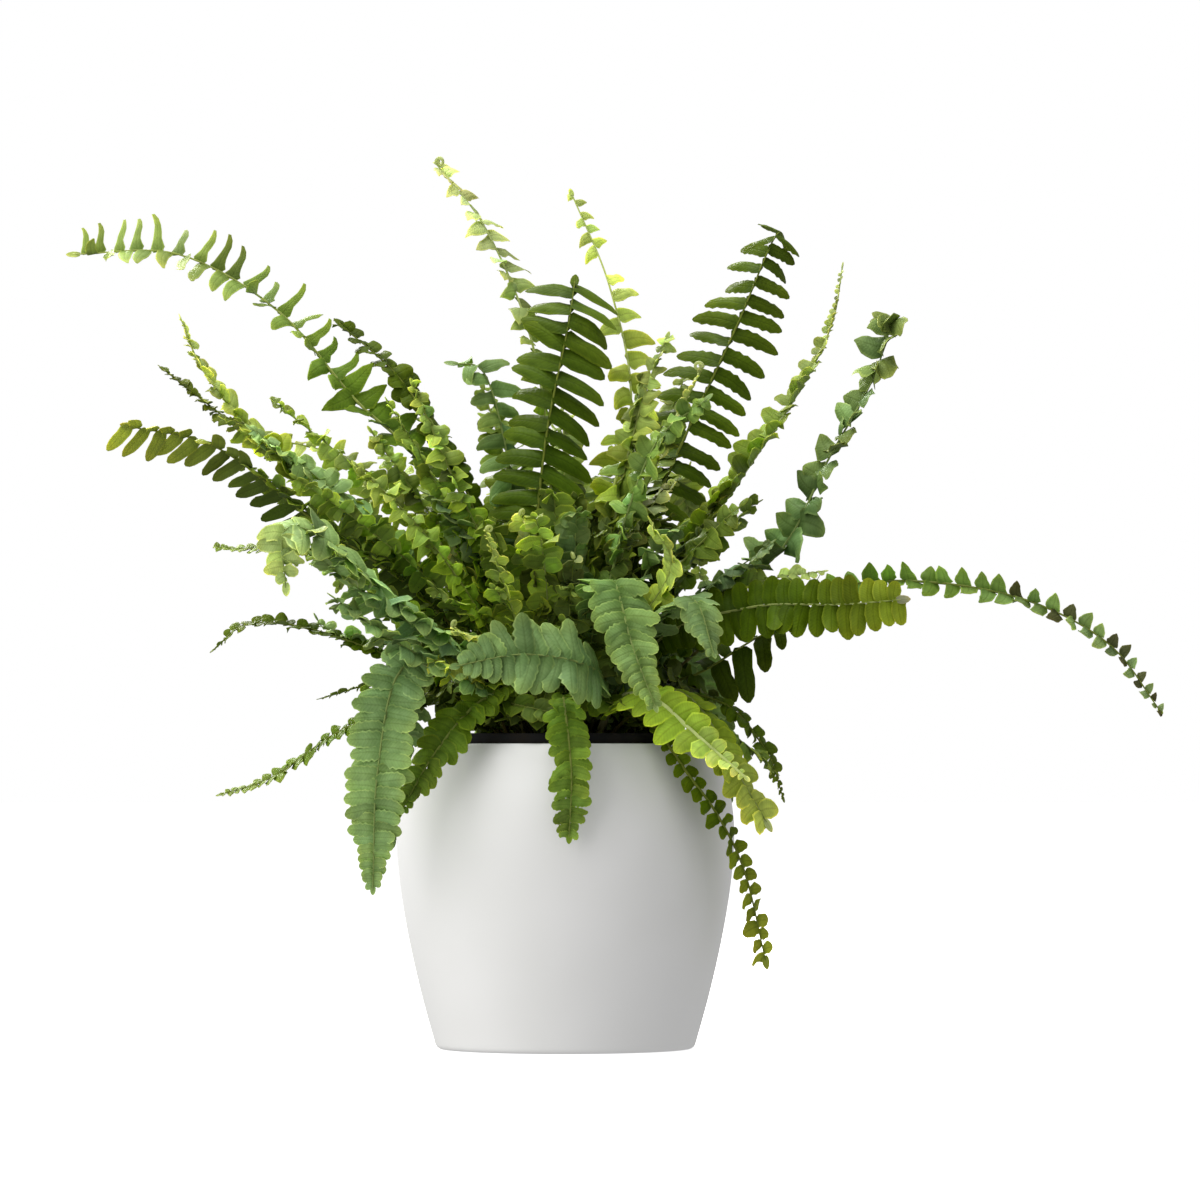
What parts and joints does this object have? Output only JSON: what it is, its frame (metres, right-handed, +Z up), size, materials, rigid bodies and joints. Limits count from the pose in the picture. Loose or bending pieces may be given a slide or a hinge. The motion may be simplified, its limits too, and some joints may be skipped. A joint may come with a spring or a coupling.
{
  "type": "potted fern",
  "caption": "Bushy sword fern with arching and hanging fronds, growing in a black grow pot inside a smooth white round-shouldered cover pot.",
  "frame": {"origin": "centre of the cover pot's foot, on the surface that it stands on", "axes": "+Z up; +X to the right of someone who faces the front, along the plant's widest spread; the front faces -Y"},
  "size_m": [0.482, 0.3132, 0.394],
  "materials": {
    "cover_pot": "smooth satin white plastic",
    "grow_pot": "thin black nursery plastic, slightly dusty",
    "soil": "damp peat potting mix",
    "crown": "scaly brown rhizome",
    "leaf_deep_green": "leathery leaf, dark green",
    "leaf_mid_green": "leathery leaf, mid green",
    "leaf_blue_green": "leathery leaf, cool grey-green",
    "leaf_fresh_green": "soft young leaf, light green",
    "leaf_yellow_green": "soft young leaf, yellow-green"
  },
  "bodies": {
    "root": {"cover_pot": "cover_pot", "grow_pot": "grow_pot", "soil": "soil", "crown": "crown", "frond_front_broad": "leaf_blue_green", "frond_front_centre_hanging": "leaf_blue_green", "frond_front_yellow": "leaf_yellow_green", "frond_front_left_hanging": "leaf_blue_green", "frond_front_centre_low": "leaf_mid_green", "frond_front_left_low": "leaf_mid_green", "frond_centre_big": "leaf_deep_green", "frond_right_front": "leaf_fresh_green", "frond_right_long": "leaf_mid_green", "frond_right_upper": "leaf_blue_green", "frond_right_light_thin": "leaf_fresh_green", "frond_right_dark_arch": "leaf_deep_green", "frond_centre_light_thin": "leaf_yellow_green", "frond_top_left_light": "leaf_fresh_green", "frond_left_long": "leaf_mid_green", "frond_left_dark_broad": "leaf_deep_green", "frond_left_pale": "leaf_yellow_green", "frond_left_near": "leaf_blue_green", "frond_left_inner_curl": "leaf_deep_green", "frond_left_low_dark": "leaf_deep_green", "frond_left_pale_back": "leaf_yellow_green", "frond_left_thin_high": "leaf_mid_green", "frond_left_thin_mid": "leaf_deep_green", "frond_left_stub": "leaf_deep_green", "frond_left_low_thin": "leaf_mid_green", "frond_right_hanging_dark": "leaf_deep_green", "frond_right_hanging_light": "leaf_fresh_green", "frond_right_low_dark": "leaf_deep_green", "frond_right_dark_leaflets": "leaf_deep_green", "frond_right_top_light": "leaf_fresh_green", "frond_centre_left_blue": "leaf_blue_green", "frond_left_mid_upright": "leaf_mid_green", "frond_left_mid_outer": "leaf_mid_green", "frond_left_mid_back": "leaf_mid_green", "frond_left_mid_low": "leaf_mid_green", "frond_right_centre_blue": "leaf_blue_green", "frond_right_centre_mid": "leaf_mid_green", "frond_right_front_blue": "leaf_blue_green", "frond_centre_right_light": "leaf_fresh_green", "frond_young_centre": "leaf_yellow_green", "frond_young_left": "leaf_yellow_green", "frond_young_right": "leaf_fresh_green", "frond_young_yellow": "leaf_yellow_green", "frond_back_upright_1": "leaf_mid_green", "frond_back_upright_2": "leaf_mid_green", "frond_back_upright_3": "leaf_mid_green", "frond_back_upright_4": "leaf_mid_green", "frond_back_arching_1": "leaf_fresh_green", "frond_back_arching_2": "leaf_fresh_green", "frond_back_arching_3": "leaf_fresh_green", "frond_back_arching_4": "leaf_fresh_green", "frond_back_hanging_1": "leaf_blue_green", "frond_back_hanging_2": "leaf_blue_green", "frond_back_hanging_3": "leaf_blue_green", "frond_back_hanging_4": "leaf_blue_green"}
  },
  "joints": []
}
